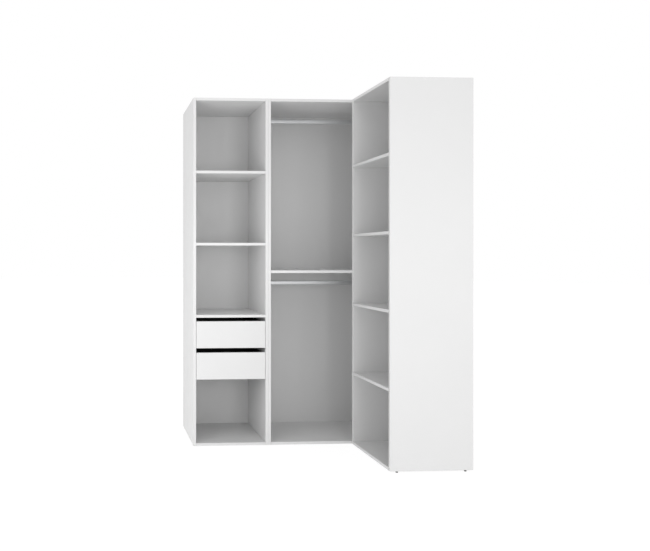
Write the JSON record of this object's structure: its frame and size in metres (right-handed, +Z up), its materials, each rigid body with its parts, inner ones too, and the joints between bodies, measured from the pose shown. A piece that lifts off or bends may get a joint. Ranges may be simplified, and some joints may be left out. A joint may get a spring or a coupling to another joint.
{
  "type": "corner wardrobe",
  "caption": "Open white corner wardrobe: shelf tower with inset drawers, corner module with hanging rails, and an end module with shelves turned to face the tower.",
  "frame": {"origin": "on the floor, under the middle of the whole wardrobe's box", "axes": "+X to the right along the rear wall, +Y towards the rear wall, +Z up; the tower and corner modules open towards -Y and the end module opens towards -X"},
  "size_m": [1.5672, 1.0504, 2.308],
  "materials": {
    "white_melamine": "white melamine-faced board with edge banding, satin",
    "white_backboard": "thin white-faced hardboard, matt",
    "black_board": "black melamine-faced board, fine grain",
    "zinc_steel": "bright zinc-plated pressed steel",
    "satin_tube": "satin silver tube",
    "dark_plastic": "dark moulded plastic"
  },
  "bodies": {
    "carcass": {"tower_left_side": "white_melamine", "tower_right_side": "white_melamine", "tower_top": "white_melamine", "tower_bottom": "white_melamine", "tower_shelf_1": "white_melamine", "tower_shelf_2": "white_melamine", "tower_shelf_3": "white_melamine", "tower_back": "white_backboard", "tower_glide_front_left": "dark_plastic", "tower_glide_front_right": "dark_plastic", "tower_glide_rear_left": "dark_plastic", "tower_glide_rear_right": "dark_plastic", "upper_left_cabinet_member": "zinc_steel", "upper_right_cabinet_member": "zinc_steel", "lower_left_cabinet_member": "zinc_steel", "lower_right_cabinet_member": "zinc_steel", "corner_left_side": "white_melamine", "corner_right_side": "white_melamine", "corner_top": "white_melamine", "corner_bottom": "white_melamine", "corner_shelf": "white_melamine", "corner_back": "white_backboard", "corner_upper_rail": "satin_tube", "corner_lower_rail": "satin_tube", "corner_glide_front_left": "dark_plastic", "corner_glide_front_right": "dark_plastic", "corner_glide_rear_left": "dark_plastic", "corner_glide_rear_right": "dark_plastic", "end_left_side": "white_melamine", "end_right_side": "white_melamine", "end_top": "white_melamine", "end_bottom": "white_melamine", "end_shelf_1": "white_melamine", "end_shelf_2": "white_melamine", "end_shelf_3": "white_melamine", "end_shelf_4": "white_melamine", "end_back": "white_backboard", "end_glide_front_left": "dark_plastic", "end_glide_front_right": "dark_plastic", "end_glide_rear_left": "dark_plastic", "end_glide_rear_right": "dark_plastic"},
    "upper_drawer": {"upper_drawer_front": "white_melamine", "upper_drawer_left_wall": "black_board", "upper_drawer_right_wall": "black_board", "upper_drawer_rear_wall": "black_board", "upper_drawer_base": "black_board", "upper_left_drawer_member": "zinc_steel", "upper_right_drawer_member": "zinc_steel"},
    "lower_drawer": {"lower_drawer_front": "white_melamine", "lower_drawer_left_wall": "black_board", "lower_drawer_right_wall": "black_board", "lower_drawer_rear_wall": "black_board", "lower_drawer_base": "black_board", "lower_left_drawer_member": "zinc_steel", "lower_right_drawer_member": "zinc_steel"},
    "upper_left_middle": {"upper_left_middle_member": "zinc_steel"},
    "upper_right_middle": {"upper_right_middle_member": "zinc_steel"},
    "lower_left_middle": {"lower_left_middle_member": "zinc_steel"},
    "lower_right_middle": {"lower_right_middle_member": "zinc_steel"}
  },
  "joints": [
    {"name": "upper_drawer_slide", "type": "slide", "parent": "carcass", "child": "upper_drawer", "axis": [0, -1, 0], "range_m": [0, 0.44]},
    {"name": "lower_drawer_slide", "type": "slide", "parent": "carcass", "child": "lower_drawer", "axis": [0, -1, 0], "range_m": [0, 0.44]},
    {"name": "upper_left_middle_slide", "type": "slide", "parent": "carcass", "child": "upper_left_middle", "axis": [0, -1, 0], "range_m": [0, 0.22]},
    {"name": "upper_right_middle_slide", "type": "slide", "parent": "carcass", "child": "upper_right_middle", "axis": [0, -1, 0], "range_m": [0, 0.22]},
    {"name": "lower_left_middle_slide", "type": "slide", "parent": "carcass", "child": "lower_left_middle", "axis": [0, -1, 0], "range_m": [0, 0.22]},
    {"name": "lower_right_middle_slide", "type": "slide", "parent": "carcass", "child": "lower_right_middle", "axis": [0, -1, 0], "range_m": [0, 0.22]}
  ],
  "couplings": [
    {"joint": "upper_left_middle_slide", "follows": "upper_drawer_slide", "ratio": 0.5},
    {"joint": "upper_right_middle_slide", "follows": "upper_drawer_slide", "ratio": 0.5},
    {"joint": "lower_left_middle_slide", "follows": "lower_drawer_slide", "ratio": 0.5},
    {"joint": "lower_right_middle_slide", "follows": "lower_drawer_slide", "ratio": 0.5}
  ]
}
